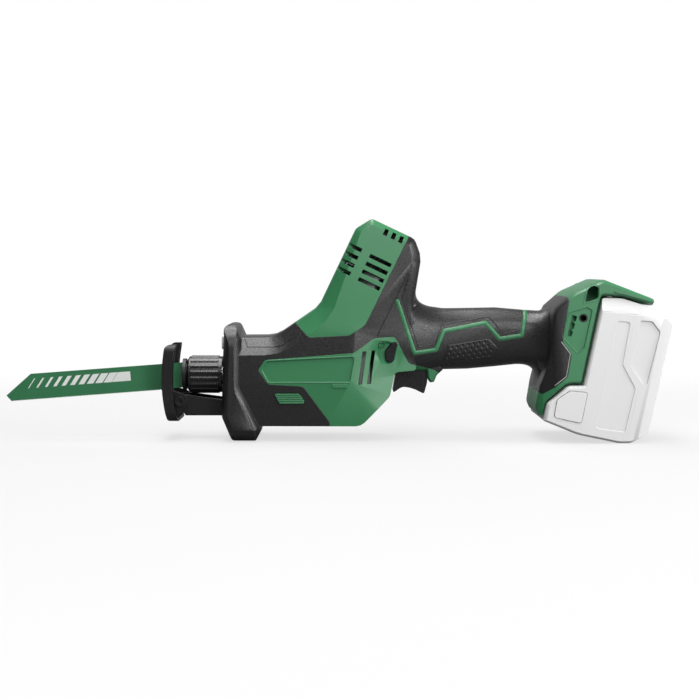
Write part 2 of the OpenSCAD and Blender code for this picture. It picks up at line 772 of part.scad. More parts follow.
pack_outline = [
    [149.4, 15.6, 1], [173, 6, 25], [202, 0, 4], [211, 0, 5], [223.6, 7, 5], [239.4, 84, 5], [228.5, 94.2, 6],
    [204, 102.1, 8], rail_point(0.5, 62.3, 1), rail_point(0.5, -0.6, 1), [166.2, 40.4, 4], [151.9, 28, 3]];
pack_shoulders = [[0, pack_half - 3], [0.5, pack_half - 1.1], [1.6, pack_half]];
// Lines where the sides of the pack bend in, towards its rear and its top
pack_bends = [[[230.8, 80], [213.6, 10]], [[188, 93], [212, 90.5]]];
pack_lean = 24;
module pack_cuts(h) {
    for (line = pack_bends) leaning_cut(line[0], line[1], pack_lean, h);
}
module pack_form(shrink = 0) {
    difference() {
        pillow(pack_outline, pack_shoulders, shrink);
        pack_cuts(pack_half - shrink);
        mirror([0, 1, 0]) pack_cuts(pack_half - shrink);
    }
}

cell_spots = concat(
    [for (c = [13, 32], r = [-6:18.8:51]) [c, r]], [[13, -24.8], [-7, -20.6]]);

// Seam between the rail side of the pack and its cover
pack_seam = [
    rail_point(25, 90, 1), rail_point(25, 14, 3), rail_point(37.5, 3.5, 3), rail_point(37.5, -70, 1)];
module pack_front_2d() { polygon(rounded_outline(concat(pack_seam, [[100, -30, 1], [100, 150, 1]]))); }

// Bare label panel, side hollow and top seam of the pack
label_panel = [
    [185.7, 10.6, 2], [206.2, 7.9, 2], [213.1, 39.1, 3], [204, 55.8, 3], [209.2, 85.5, 2], [200.1, 86.3, 2]];
pack_hollow = [[209.6, 54.3, 3], [220.7, 38.7, 2], [230.2, 78.6, 2], [224.5, 85.9, 2], [216.1, 86.7, 2]];
pack_band = [
    [180, 92.4], [200, 92.2], [213, 90.2], [240, 90.4], [240, 91], [213, 90.9], [200, 92.9], [180, 93.1]];

module pack_shell() {
    difference() {
        pack_form();
        side_recess(pack_half, 0.5) polygon(rounded_outline(label_panel));
        side_recess(pack_half, 1.2) polygon(rounded_outline(pack_hollow));
        side_recess(pack_half, 0.4) polygon(pack_band);
        difference() {
            pack_form(2.2);
            on_rail() translate([-60, -50, -60]) cube([63, 100, 58]);
        }
        latch_pocket(-1);
        latch_pocket(1);
        on_rail() translate([-7, -cell_len / 2, -28]) cube([20, cell_len, 14]);
        for (c = cell_spots) {
            on_rail() translate([c[0], 0, c[1]]) rotate([90, 0, 0])
                cylinder(r = cell_r + 0.3, h = cell_len + 1, center = true, $fn = 24);
        }
    }
}

module battery_case() {
    color([0.86, 0.86, 0.86]) moulded() intersection() {
        pack_shell();
        across(100) pack_front_2d();
    }
}

module battery_cover() {
    color([0.8, 0.8, 0.8]) moulded() difference() {
        pack_shell();
        across(100) pack_front_2d();
    }
}

module battery_deck() {
    color([0.3, 0.3, 0.31]) difference() {
        rail_tongue(0, 45.6);
        on_rail() translate([0.5, -40, -60]) cube([20, 80, 200]);
        on_rail() for (y = blade_spots) translate([-7.2, y - 0.8, 32]) cube([5.6, 1.6, 20]);
        on_rail() translate([-20, -30, -40]) cube([24, 60, 41]);
    }
}

module battery_cells() {
    color([0.35, 0.5, 0.7]) on_rail() {
        for (c = cell_spots) {
            translate([c[0], 0, c[1]]) rotate([90, 0, 0]) cylinder(r = cell_r, h = cell_len, center = true);
        }
    }
}

latch_outline = [[156.3, 18.6, 2], [175.2, 14.4, 1.5], [179.6, 36, 1.5], [167.1, 37, 2], [158.3, 31, 2]];
latch_t = 2.6;
module latch_pocket(side) {
    translate([0, side * (pack_half - 1), 0]) across(5.2 + 2) polygon(rounded_outline(latch_outline, -0.35));
}
module latch(side) {
    color([0.8, 0.8, 0.8]) translate([0, side * (pack_half - 0.7), 0]) across(latch_t)
        polygon(rounded_outline(latch_outline));
}
module latch_left() { latch(-1); }
module latch_right() { latch(1); }

// Hook inserts and screws
hook_at = [176.4, 88.2];
hook_wall = 0.9;
module on_hook(side) {
    translate([hook_at[0], side * (mount_half - 1), hook_at[1]]) rotate([side * 90, 0, 0]) children();
}
module hook_insert(side) {
    color([0.2, 0.2, 0.21]) on_hook(side) difference() {
        cylinder(r = hook_r + hook_wall, h = hook_depth + 1);
        translate([0, 0, -1]) cylinder(r = hook_r, h = hook_depth + 1);
    }
}
module hook_insert_left() { hook_insert(-1); }
module hook_insert_right() { hook_insert(1); }

housing_screw_spots = [
    [-61.5, 66], [33, 33], [91, 82], [150.4, 36.7], [168.5, 100.5], [40, 142]];
cover_screw_spots = [[-48, 61], [-48, 36], [-2, 76.5], [20.5, 30.5]];
module gear_cover_screws() {
    color([0.7, 0.7, 0.72]) for (p = cover_screw_spots) {
        translate([p[0], case_half - 4, p[1]]) rotate([-90, 0, 0]) {
            cylinder(r = screw_r, h = 4 + cover_t);
            translate([0, 0, 4 + cover_t]) cylinder(r = 2.9, h = 1.8);
        }
    }
}

// Openings that both shells and overmould share
vent_w = 2.8;
vent_pitch = 6.1;
vent_rows = 4;
plate_outline = [
    [-49.6, 51.3, 1.5], [-45, 42.8, 1.5], [12.7, 42.8, 1.5], [15.9, 60.5, 1.5], [-46.4, 57.3, 1.5]];
plate_deep = 1.2;
side_vents = [[[21.6, 64.2], [18.5, 40.8], [21, 40.8], [24.2, 64.4]], [[28, 64.8], [24.8, 41.2], [27.3, 41.2],
    [30.6, 65]]];
hook_panel = [
    [166.7, 92.1, 2], [161.6, 75.3, 2], [172.4, 63.8, 2], [177.1, 67.6, 3], [182.5, 93.8, 2],
    [178.8, 95.8, 2]];
hook_panel_deep = 0.8;
// Toothed slot that locks the hook, and the pocket above it
hook_slot = [
    [168.4, 90.4], [165.3, 75.6], [168.1, 75.2], [169.1, 78.6], [168.1, 79], [168.4, 80.1], [169.6, 80.6],
    [170.6, 84.2], [169.6, 84.6], [169.9, 85.7], [171.1, 86.2], [172, 89.4]];
hook_slot_deep = 5;
foot_pocket = [
    [177, 99.2, 1], [186.8, 102, 1.5], [186.8, 110, 1.5], [183, 111, 2], [179.4, 108.6, 1.5]];
foot_pocket_deep = 16;
lip_groove = [[197.6, 106.6], [196.9, 104.9], [206.4, 101.4], [216.5, 98.7], [217.1, 99.9], [206.4, 103.7]];
lip_groove_deep = 1;
scoop_at = [40, 63];

// Cuts a side view into both sides of a form of half width h
module side_recess(h, deep) {
    for (side = [-1, 1]) translate([0, side * (h - deep + 10), 0]) across(20) children();
}

module tower_vents() {
    for (side = [-1, 1], k = [0:vent_rows - 1]) {
        on_motor(92 - vent_pitch * k) translate([-26, side * 34 - 15, -vent_w / 2])
            cube([10.5, 30, vent_w]);
        on_motor(91.3 - vent_pitch * k) translate([-8.7, side * 34 - 15, -vent_w / 2])
            cube([16.6, 30, vent_w]);
    }
    for (side = [-1, 1], p = [-5.4, 0.6, 6.5]) {
        on_motor(108.7) translate([p - 1.45, side * 24 - 12, 0]) cube([2.9, 24, 4.7]);
    }
}

module openings() {
    tower_vents();
    for (v = side_vents) side_recess(body_half, 11) polygon(v);
    side_recess(body_half, plate_deep) polygon(rounded_outline(plate_outline));
    side_recess(mount_half, hook_panel_deep) polygon(rounded_outline(hook_panel));
    side_recess(mount_half, hook_slot_deep) polygon(hook_slot);
    side_recess(mount_half, foot_pocket_deep) polygon(rounded_outline(foot_pocket));
    side_recess(mount_half, lip_groove_deep) polygon(lip_groove);
    for (side = [-1, 1]) {
        translate([scoop_at[0], side * 27.2, scoop_at[1]]) rotate([side * 90, 0, 0])
            cylinder(r1 = 11.5, r2 = 6.5, h = 4.5, $fn = 20);
    }
    translate([0, -35, 0]) across(20) polygon(rounded_outline(button_outline));
    translate([-29, -30, 31.2]) rotate([-90, 0, 0]) cylinder(r = 2.8, h = 8, $fn = 16);
    translate([44.6, -trigger_half - 0.5, 28]) cube([25.2, 2 * trigger_half + 1, 34]);
    across(120) polygon(rounded_outline(lock_outline, -0.4));
    rail_tongue(rail_gap, 46);
    terminal_box(0.05);
    for (side = [-1, 1]) {
        on_hook(side) translate([0, 0, -4])
            cylinder(r = hook_r + hook_wall + 0.05, h = hook_depth + 5, $fn = 24);
    }
    for (p = housing_screw_spots) {
        translate([p[0], 8, p[1]]) rotate([-90, 0, 0]) cylinder(r = 3.3, h = 60, $fn = 10);
        translate([p[0], -14.1, p[1]]) rotate([-90, 0, 0])
            cylinder(r = screw_r / cos(30) + 0.1, h = 24, $fn = 6);
    }
    nose_bore();
}

// Small raised tab under the plate
module plate_tab() {
    for (side = [-1, 1]) translate([5.3, side * (body_half - 1.2), 40]) cube([10.6, 3.2, 2.8], center = true);
}

// Ribs that carry the motor, gear case, switch and board
module ribs() {
    difference() {
        for (t = [51, 73]) on_motor(t + 2) cube([60, 70, 4], center = true);
        on_motor(45) cylinder(r = motor_r + 0.25, h = 45, $fn = 24);
    }
    difference() {
        on_motor(96) cube([50, 70, 5], center = true);
        on_motor(90) cylinder(r = 6.6, h = 12, $fn = 20);
    }
    // Middle walls that stand behind the vents
    translate([27.3, -1.5, 15]) cube([7.7, 1.5, 51]);
    difference() {
        on_motor(57) translate([-32, -1.5, 0]) cube([64, 1.5, 37]);
        on_motor(45) cylinder(r = motor_r + 0.25, h = 38.5, $fn = 24);
        on_motor(80) cylinder(r = 4, h = 20, $fn = 12);
    }
    translate([0, -30, 10]) cube([3, 60, 7.6]);
    translate([-38, -30, 40]) cube([3, 30 - case_half, 20]);
    translate([82, -20, 45]) cube([2, 40, 21]);
    translate([68, -25, 85]) cube([2, 50, 15]);
    for (p = housing_screw_spots) {
        translate([p[0], -40, p[1]]) rotate([-90, 0, 0]) cylinder(r = 4.5, h = 80, $fn = 6);
    }
}

module cavity() {
    difference() {
        union() {
            body_form(shell_t, $arc = 90);
            handle_form(shell_t, $sides = 12);
        }
        ribs();
    }
}

module housing(side) {
    color([0.2, 0.5, 0.33]) moulded() half(side) difference() {
        union() {
            intersection() {
                outer_form();
                across(120) green_2d();
            }
            core_form();
            plate_tab();
        }
        cavity();
        openings($arc = 45);
    }
}

module grip(side) {
    color([0.15, 0.15, 0.16]) moulded() half(side) difference() {
        outer_form();
        core_form();
        across(120) green_2d();
        across(120) nose_2d();
        openings($arc = 45);
    }
}

module housing_left() { housing(-1); }
module housing_right() { housing(1); }
module grip_left() { grip(-1); }
module grip_right() { grip(1); }

module nose_cover() {
    color([0.12, 0.12, 0.13]) moulded() difference() {
        union() {
            intersection() {
                difference() {
                    body_form();
                    across(120) green_2d();
                }
                across(120) nose_2d();
            }
            flange_form();
        }
        body_form(grip_t, $arc = 45);
        openings($arc = 45);
        lens_form(0.02);
    }
}

module lens_form(grow) {
    translate([-80.3, 0, 0]) rotate([90, 0, 90]) linear_extrude(3.3 + grow)
        polygon(rounded_outline([[-6, 64.5, 3], [6, 64.5, 3], [6, 75.5, 3], [-6, 75.5, 3]], -grow));
}
module led_lens() { color([0.9, 0.9, 0.85]) lens_form(0); }

screw_head = 2.5;
module housing_screws() {
    color([0.25, 0.25, 0.26]) for (p = housing_screw_spots) {
        translate([p[0], -14, p[1]]) rotate([-90, 0, 0]) {
            cylinder(r = screw_r, h = 22);
            translate([0, 0, 22]) cylinder(r = 2.9, h = screw_head);
        }
    }
}

housing_left();
housing_right();
grip_left();
grip_right();
nose_cover();
led_lens();
housing_screws();
gear_case();
gear_cover();
gear_cover_screws();
front_bush();
rear_bush();
dust_seal();
plunger();
crank_gear();
crank_spindle();
crank_pin();
spindle_bearing();
drive_pinion();
motor_shaft();
motor_bearing_front();
motor_bearing_rear();
rotor_core();
cooling_fan();
stator_core();
stator_windings();
clamp_body();
clamp_sleeve();
clamp_ring();
saw_blade();
shoe_plate();
shoe_pin();
shoe_bracket();
bracket_guide();
shoe_button();
trigger();
lock_button();
switch_body();
control_board();
terminal_block();
terminal_blades();
battery_case();
battery_cover();
battery_deck();
battery_cells();
latch_left();
latch_right();
hook_insert_left();
hook_insert_right();
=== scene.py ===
"""Studio looks for a compact cordless reciprocating saw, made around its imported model."""
import json
import math

import bpy
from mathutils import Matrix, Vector


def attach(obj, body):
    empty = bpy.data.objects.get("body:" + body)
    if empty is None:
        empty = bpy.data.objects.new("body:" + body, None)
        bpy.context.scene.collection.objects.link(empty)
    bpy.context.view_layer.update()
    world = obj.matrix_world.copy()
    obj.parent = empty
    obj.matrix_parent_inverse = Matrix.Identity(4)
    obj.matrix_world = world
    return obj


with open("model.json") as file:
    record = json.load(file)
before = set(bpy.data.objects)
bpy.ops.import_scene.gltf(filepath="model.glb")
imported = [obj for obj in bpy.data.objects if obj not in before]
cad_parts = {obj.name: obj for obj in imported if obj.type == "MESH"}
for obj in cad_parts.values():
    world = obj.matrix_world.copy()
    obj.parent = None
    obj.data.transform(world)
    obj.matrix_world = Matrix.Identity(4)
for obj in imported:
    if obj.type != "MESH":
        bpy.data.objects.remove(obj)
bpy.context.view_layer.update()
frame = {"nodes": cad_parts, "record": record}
nodes = frame["nodes"]
scene = bpy.context.scene
MM = 0.001

# Colours, linear
SAW_GREEN = (0.029, 0.168, 0.067, 1)
BLADE_GREEN = (0.028, 0.16, 0.066, 1)
SOFT_BLACK = (0.01, 0.01, 0.0104, 1)
HARD_BLACK = (0.01, 0.01, 0.0108, 1)
COATED_BLACK = (0.011, 0.011, 0.011, 1)
GROUND_STEEL = (0.52, 0.53, 0.55, 1)
GEAR_STEEL = (0.22, 0.225, 0.235, 1)
CAST_ALLOY = (0.5, 0.51, 0.52, 1)
BEARING_BRONZE = (0.42, 0.26, 0.11, 1)
TURNED_BRASS = (0.62, 0.42, 0.15, 1)
PACK_WHITE = (0.62, 0.62, 0.62, 1)
DECK_GREY = (0.07, 0.07, 0.072, 1)
# Pale grey of the foot's seam: a painted highlight of its rim-lit edge
PAINTED_HIGHLIGHT_GREY = (0.3, 0.29, 0.28, 1)
CELL_BLUE = (0.1, 0.22, 0.42, 1)
BOARD_GREEN = (0.01, 0.08, 0.03, 1)
LENS_CLEAR = (0.82, 0.84, 0.82, 1)
BAR_WHITE = (0.72, 0.74, 0.72, 1)
STUDIO_WHITE = (1, 1, 1, 1)

# Room and backdrop: the room's light, the share of the backdrop that is mirrored, and the range over which a
# direction turns from the room to the backdrop
ROOM_LEVEL = 0.1
MIRROR_LEVEL = 0.45
BACKDROP_BEHIND = (0.5, 1.0)

# Floor, in metres where it is a length
FLOOR_RADIUS = 6
FLOOR_SIDES = 64
FLOOR_LEVEL = -0.0002
FLOOR_TONE = (0.16, 0.16, 0.16, 1)
FLOOR_ROUGH = 0.9
FLOOR_SPECULAR = 0.1
FLOOR_GLOW = 0.66
FLOOR_FADE = (0.25, 0.75)
FLOOR_BEHIND = (0.8, 2.0)

# Camera, in metres, for a square picture
CAMERA_AT = (0.0123, -0.998, 0.1242)
CAMERA_TARGET = (0.0123, 0.0, 0.064)
CAMERA_ANGLE = math.radians(28.6)
CAMERA_NEAR = 0.01

# Softboxes: place, target and size in metres, power in watts, and whether the saw mirrors them
LAMPS = {
    "top": ((-0.05, 0.0, 1.15), (0.0, 0.0, 0.06), (1.5, 0.5), 18, True),
    "side": ((1.25, -0.28, 0.5), (0.05, 0.0, 0.08), (0.6, 0.8), 13, True),
    "rear": ((-0.3, 1.3, 0.6), (0.0, 0.0, 0.07), (0.8, 0.6), 8, False),
    "key": ((0.72, -1.2, 0.3), (0.02, 0.0, 0.07), (0.45, 0.8), 9.5, True),
    "brow": ((0.1, -0.9, 0.6), (0.0, 0.0, 0.1), (0.5, 0.4), 3.5, True)}


def aim(obj, target):
    """Turns a camera or lamp at a point."""
    direction = Vector(target) - obj.location
    obj.rotation_euler = direction.to_track_quat("-Z", "Y").to_euler()


def add_camera():
    data = bpy.data.cameras.new("photo_camera")
    data.angle = CAMERA_ANGLE
    data.clip_start = CAMERA_NEAR
    camera = bpy.data.objects.new("photo_camera", data)
    scene.collection.objects.link(camera)
    camera.location = CAMERA_AT
    aim(camera, CAMERA_TARGET)
    scene.camera = camera


def add_softbox(name, place, target, size, power, mirrored):
    data = bpy.data.lights.new(name, "AREA")
    data.shape = "RECTANGLE"
    data.size, data.size_y = size
    data.energy = power
    lamp = bpy.data.objects.new(name, data)
    scene.collection.objects.link(lamp)
    lamp.location = place
    aim(lamp, target)
    lamp.visible_camera = False
    lamp.visible_glossy = mirrored


# Shader helpers


def value_node(tree, operation, first, second=None, third=None):
    """Math node whose inputs are sockets or plain numbers."""
    node = tree.nodes.new("ShaderNodeMath")
    node.operation = operation
    for slot, value in zip(node.inputs, (first, second, third)):
        if value is None:
            continue
        if isinstance(value, (int, float)):
            slot.default_value = value
        else:
            tree.links.new(value, slot)
    return node.outputs[0]


def range_node(tree, value, limits, interpolation):
    """How far a value is on its way from the first limit to the second, from 0 to 1."""
    node = tree.nodes.new("ShaderNodeMapRange")
    node.interpolation_type = interpolation
    node.inputs["From Min"].default_value, node.inputs["From Max"].default_value = limits
    tree.links.new(value, node.inputs["Value"])
    return node.outputs["Result"]


def mixed_shader(tree, share, first, second):
    """Two shaders in one: the second one takes the share."""
    mix = tree.nodes.new("ShaderNodeMixShader")
    tree.links.new(share, mix.inputs["Fac"])
    tree.links.new(first.outputs[0], mix.inputs[1])
    tree.links.new(second.outputs[0], mix.inputs[2])
    return mix.outputs[0]


def split_node(tree, vector):
    split = tree.nodes.new("ShaderNodeSeparateXYZ")
    tree.links.new(vector, split.inputs[0])
    return split.outputs


def object_place(tree):
    return tree.nodes.new("ShaderNodeTexCoord").outputs["Object"]


def noise_node(tree, scale, detail):
    """Noise on object coordinates, at the scale that a socket gives."""
    noise = tree.nodes.new("ShaderNodeTexNoise")
    noise.inputs["Detail"].default_value = detail
    tree.links.new(scale, noise.inputs["Scale"])
    tree.links.new(object_place(tree), noise.inputs["Vector"])
    return noise.outputs["Fac"]


# Backdrop and floor


def backdrop_ray(tree, depth, limits):
    """Share of the white backdrop that a ray shows: all for the camera, and a part behind the saw for others.

    The others are rays that gloss or glass sends on. Diffuse light on the saw never comes from the backdrop.
    """
    path = tree.nodes.new("ShaderNodeLightPath")
    behind = range_node(tree, depth, limits, "SMOOTHSTEP")
    bounced = value_node(tree, "MAXIMUM", path.outputs["Is Glossy Ray"], path.outputs["Is Transmission Ray"])
    mirrored = value_node(tree, "MULTIPLY", bounced, behind)
    dimmed = value_node(tree, "MULTIPLY", mirrored, MIRROR_LEVEL)
    return value_node(tree, "MAXIMUM", dimmed, path.outputs["Is Camera Ray"])


def add_world():
    """White backdrop behind the saw, with a dim room on the camera's side of it."""
    world = bpy.data.worlds.new("studio")
    scene.world = world
    world.use_nodes = True
    tree = world.node_tree
    tree.nodes.clear()
    room = tree.nodes.new("ShaderNodeBackground")
    room.inputs["Strength"].default_value = ROOM_LEVEL
    room.inputs["Color"].default_value = STUDIO_WHITE
    backdrop = tree.nodes.new("ShaderNodeBackground")
    backdrop.inputs["Color"].default_value = STUDIO_WHITE
    direction = tree.nodes.new("ShaderNodeTexCoord").outputs["Generated"]
    shown = backdrop_ray(tree, split_node(tree, direction)["Y"], BACKDROP_BEHIND)
    out = tree.nodes.new("ShaderNodeOutputWorld")
    tree.links.new(mixed_shader(tree, shown, room, backdrop), out.inputs["Surface"])


def add_floor():
    """Pale floor that fades into the backdrop away from the saw."""
    bpy.ops.object.select_all(action="DESELECT")
    bpy.ops.mesh.primitive_circle_add(
        vertices=FLOOR_SIDES, radius=FLOOR_RADIUS, fill_type="NGON", location=(0, 0, FLOOR_LEVEL))
    floor = bpy.context.object
    floor.name = "studio_floor"
    material = bpy.data.materials.new("pale_floor")
    material.use_nodes = True
    tree = material.node_tree
    near = tree.nodes["Principled BSDF"]
    near.inputs["Base Color"].default_value = FLOOR_TONE
    near.inputs["Roughness"].default_value = FLOOR_ROUGH
    near.inputs["Specular IOR Level"].default_value = FLOOR_SPECULAR
    near.inputs["Emission Color"].default_value = STUDIO_WHITE
    far = tree.nodes.new("ShaderNodeEmission")
    place = object_place(tree)
    reach = tree.nodes.new("ShaderNodeVectorMath")
    reach.operation = "LENGTH"
    tree.links.new(place, reach.inputs[0])
    fade = range_node(tree, reach.outputs["Value"], FLOOR_FADE, "SMOOTHSTEP")
    shown = backdrop_ray(tree, split_node(tree, place)["Y"], FLOOR_BEHIND)
    tree.links.new(value_node(tree, "MULTIPLY", shown, FLOOR_GLOW), near.inputs["Emission Strength"])
    share = value_node(tree, "MULTIPLY", fade, shown)
    tree.links.new(mixed_shader(tree, share, near, far), tree.nodes["Material Output"].inputs["Surface"])
    floor.data.materials.append(material)


# Effects that several finishes share

FLOAT = "NodeSocketFloat"
COLOUR = "NodeSocketColor"
VECTOR = "NodeSocketVector"
# Grain: scale of the wide noise beside the fine one, and the range of the fine one over which a top begins
WIDE_SCALE = 0.4
TOP_RANGE = (0.45, 0.62)
# Detail of each noise, and the machining lines' scale and how far roughness follows them
FINE_DETAIL = 3
WIDE_DETAIL = 2
DRIFT_DETAIL = 3
BRUSH_DETAIL = 4
BRUSH_SCALE = 160
BRUSH_SPREAD = 0.16


def group_of(name, inputs, outputs):
    """New shader group with its sockets, and its input and output nodes."""
    tree = bpy.data.node_groups.new(name, "ShaderNodeTree")
    for label, kind, value in inputs:
        tree.interface.new_socket(label, in_out="INPUT", socket_type=kind).default_value = value
    for label, kind in outputs:
        tree.interface.new_socket(label, in_out="OUTPUT", socket_type=kind)
    return tree, tree.nodes.new("NodeGroupInput"), tree.nodes.new("NodeGroupOutput")


def make_grain_group():
    """Spark-eroded mould texture: grain of two sizes, as height and as a mask of the fine grain's tops."""
    tree, inp, out = group_of(
        "mould_grain", [("Scale", FLOAT, 1500.0), ("Coarse", FLOAT, 0.35)],
        [("Height", FLOAT), ("Tops", FLOAT)])
    fine = noise_node(tree, inp.outputs["Scale"], FINE_DETAIL)
    wide_scale = value_node(tree, "MULTIPLY", inp.outputs["Scale"], WIDE_SCALE)
    wide = noise_node(tree, wide_scale, WIDE_DETAIL)
    scaled = value_node(tree, "MULTIPLY", wide, inp.outputs["Coarse"])
    tree.links.new(value_node(tree, "ADD", fine, scaled), out.inputs["Height"])
    tree.links.new(range_node(tree, fine, TOP_RANGE, "LINEAR"), out.inputs["Tops"])
    return tree


def make_drift_group():
    """Slow change of tone over a moulded or painted surface."""
    tree, inp, out = group_of(
        "tone_drift",
        [("Color", COLOUR, (0.5, 0.5, 0.5, 1)), ("Amount", FLOAT, 0.08), ("Scale", FLOAT, 26.0)],
        [("Color", COLOUR)])
    slow = noise_node(tree, inp.outputs["Scale"], DRIFT_DETAIL)
    swing = value_node(tree, "MULTIPLY_ADD", slow, 2, -1)
    factor = value_node(tree, "MULTIPLY_ADD", swing, inp.outputs["Amount"], 1)
    scale = tree.nodes.new("ShaderNodeVectorMath")
    scale.operation = "SCALE"
    tree.links.new(inp.outputs["Color"], scale.inputs["Vector"])
    tree.links.new(factor, scale.inputs["Scale"])
    tree.links.new(scale.outputs["Vector"], out.inputs["Color"])
    return tree


def make_brush_group():
    """Fine machining lines along one axis, with a roughness that follows them."""
    tree, inp, out = group_of(
        "machined_lines", [("Along", VECTOR, (1.0, 30.0, 30.0)), ("Rough", FLOAT, 0.3)],
        [("Height", FLOAT), ("Roughness", FLOAT)])
    stretch = tree.nodes.new("ShaderNodeVectorMath")
    stretch.operation = "MULTIPLY"
    tree.links.new(object_place(tree), stretch.inputs[0])
    tree.links.new(inp.outputs["Along"], stretch.inputs[1])
    noise = tree.nodes.new("ShaderNodeTexNoise")
    noise.inputs["Scale"].default_value = BRUSH_SCALE
    noise.inputs["Detail"].default_value = BRUSH_DETAIL
    tree.links.new(stretch.outputs[0], noise.inputs["Vector"])
    tree.links.new(noise.outputs["Fac"], out.inputs["Height"])
    rough = value_node(tree, "MULTIPLY_ADD", noise.outputs["Fac"], BRUSH_SPREAD, inp.outputs["Rough"])
    tree.links.new(rough, out.inputs["Roughness"])
    return tree


GRAIN = make_grain_group()
DRIFT = make_drift_group()
BRUSH = make_brush_group()


# Finishes

# Strength of the relief in moulded skins, in machined metal and in the blade's paint
GRAIN_STRENGTH = 0.6
BRUSH_STRENGTH = 0.25
PAINT_STRENGTH = 0.2
# Samples that a rounded edge is found with
EDGE_SAMPLES = 6
# Drift of tone over metal and over the blade's paint: its amount, and its scale per metre
METAL_DRIFT = (0.05, 60.0)
PAINT_DRIFT = (0.08, 40.0)
# The blade's paint: its roughness, how much rougher its grain's tops are, its grain per metre, and the
# grain's depth in millimetres
PAINT_ROUGH = 0.38
PAINT_SPREAD = 0.1
PAINT_GRAIN = 900.0
PAINT_DEPTH = 0.01
# Blade print: slanted bars that widen towards a solid block, in millimetres along and across the blade
BLADE_HINGE = (-97.0, 46.0)
BLADE_CANT = math.radians(4.3)
BAR_PITCH = 6.15
BAR_START = -125.2
BAR_END = -50.5
BAR_LOW = -0.9
BAR_HIGH = 5.9
BAR_LEAN = 0.75
# Share of the pitch that the first bar fills, and what each next bar adds to it
BAR_FIRST = 0.13
BAR_GROWTH = 0.092


def placed_group(tree, group, **values):
    node = tree.nodes.new("ShaderNodeGroup")
    node.node_tree = group
    for label, value in values.items():
        node.inputs[label].default_value = value
    return node


def new_material(name, colour, metallic=0.0, specular=0.5):
    material = bpy.data.materials.new(name)
    material.use_nodes = True
    tree = material.node_tree
    shader = tree.nodes["Principled BSDF"]
    shader.inputs["Base Color"].default_value = colour
    shader.inputs["Metallic"].default_value = metallic
    shader.inputs["Specular IOR Level"].default_value = specular
    material.diffuse_color = colour
    return material, tree, shader


def add_bump(tree, shader, height, strength, depth_mm, edge_mm=0.0):
    """Fine relief, over edges that are rounded by edge_mm."""
    bump = tree.nodes.new("ShaderNodeBump")
    if edge_mm:
        edge = tree.nodes.new("ShaderNodeBevel")
        edge.samples = EDGE_SAMPLES
        edge.inputs["Radius"].default_value = edge_mm * MM
        tree.links.new(edge.outputs["Normal"], bump.inputs["Normal"])
    bump.inputs["Strength"].default_value = strength
    bump.inputs["Distance"].default_value = depth_mm * MM
    tree.links.new(height, bump.inputs["Height"])
    tree.links.new(bump.outputs["Normal"], shader.inputs["Normal"])


def moulded(name, colour, rough, specular, grain, grain_mm, drift=0.06, spread=0.12, edge_mm=0.0):
    """Moulded or coated skin: a grain that is less rough on its tops, with a slow drift of tone."""
    material, tree, shader = new_material(name, colour, specular=specular)
    tone = placed_group(tree, DRIFT, Color=colour, Amount=drift)
    tree.links.new(tone.outputs["Color"], shader.inputs["Base Color"])
    skin = placed_group(tree, GRAIN, Scale=grain)
    roughness = value_node(tree, "MULTIPLY_ADD", skin.outputs["Tops"], -spread, rough + spread / 2)
    tree.links.new(roughness, shader.inputs["Roughness"])
    add_bump(tree, shader, skin.outputs["Height"], GRAIN_STRENGTH, grain_mm, edge_mm)
    return material


def machined(name, colour, rough, along, depth_mm=0.01):
    """Machined metal with lines along one direction."""
    material, tree, shader = new_material(name, colour, metallic=1.0)
    tone = placed_group(tree, DRIFT, Color=colour, Amount=METAL_DRIFT[0], Scale=METAL_DRIFT[1])
    tree.links.new(tone.outputs["Color"], shader.inputs["Base Color"])
    lines = placed_group(tree, BRUSH, Along=along, Rough=rough)
    tree.links.new(lines.outputs["Roughness"], shader.inputs["Roughness"])
    add_bump(tree, shader, lines.outputs["Height"], BRUSH_STRENGTH, depth_mm)
    return material


def bar_mask(tree):
    """1 on the blade's printed bars and 0 beside them."""
    turn = tree.nodes.new("ShaderNodeMapping")
    turn.vector_type = "TEXTURE"
    turn.inputs["Location"].default_value = (BLADE_HINGE[0] * MM, 0, BLADE_HINGE[1] * MM)
    turn.inputs["Rotation"].default_value = (0, -BLADE_CANT, 0)
    turn.inputs["Scale"].default_value = (MM, MM, MM)
    tree.links.new(object_place(tree), turn.inputs["Vector"])
    place = split_node(tree, turn.outputs[0])
    along = place["X"]
    across = place["Z"]
    lean = value_node(tree, "MULTIPLY_ADD", across, -BAR_LEAN, along)
    count = value_node(tree, "DIVIDE", value_node(tree, "SUBTRACT", lean, BAR_START), BAR_PITCH)
    index = value_node(tree, "FLOOR", count)
    width = value_node(tree, "MULTIPLY_ADD", index, BAR_GROWTH, BAR_FIRST)
    mask = value_node(tree, "LESS_THAN", value_node(tree, "FRACT", count), width)
    limits = (
        (count, "GREATER_THAN", 0.0), (along, "LESS_THAN", BAR_END), (across, "GREATER_THAN", BAR_LOW),
        (across, "LESS_THAN", BAR_HIGH))
    for value, test, limit in limits:
        mask = value_node(tree, "MULTIPLY", mask, value_node(tree, test, value, limit))
    return mask


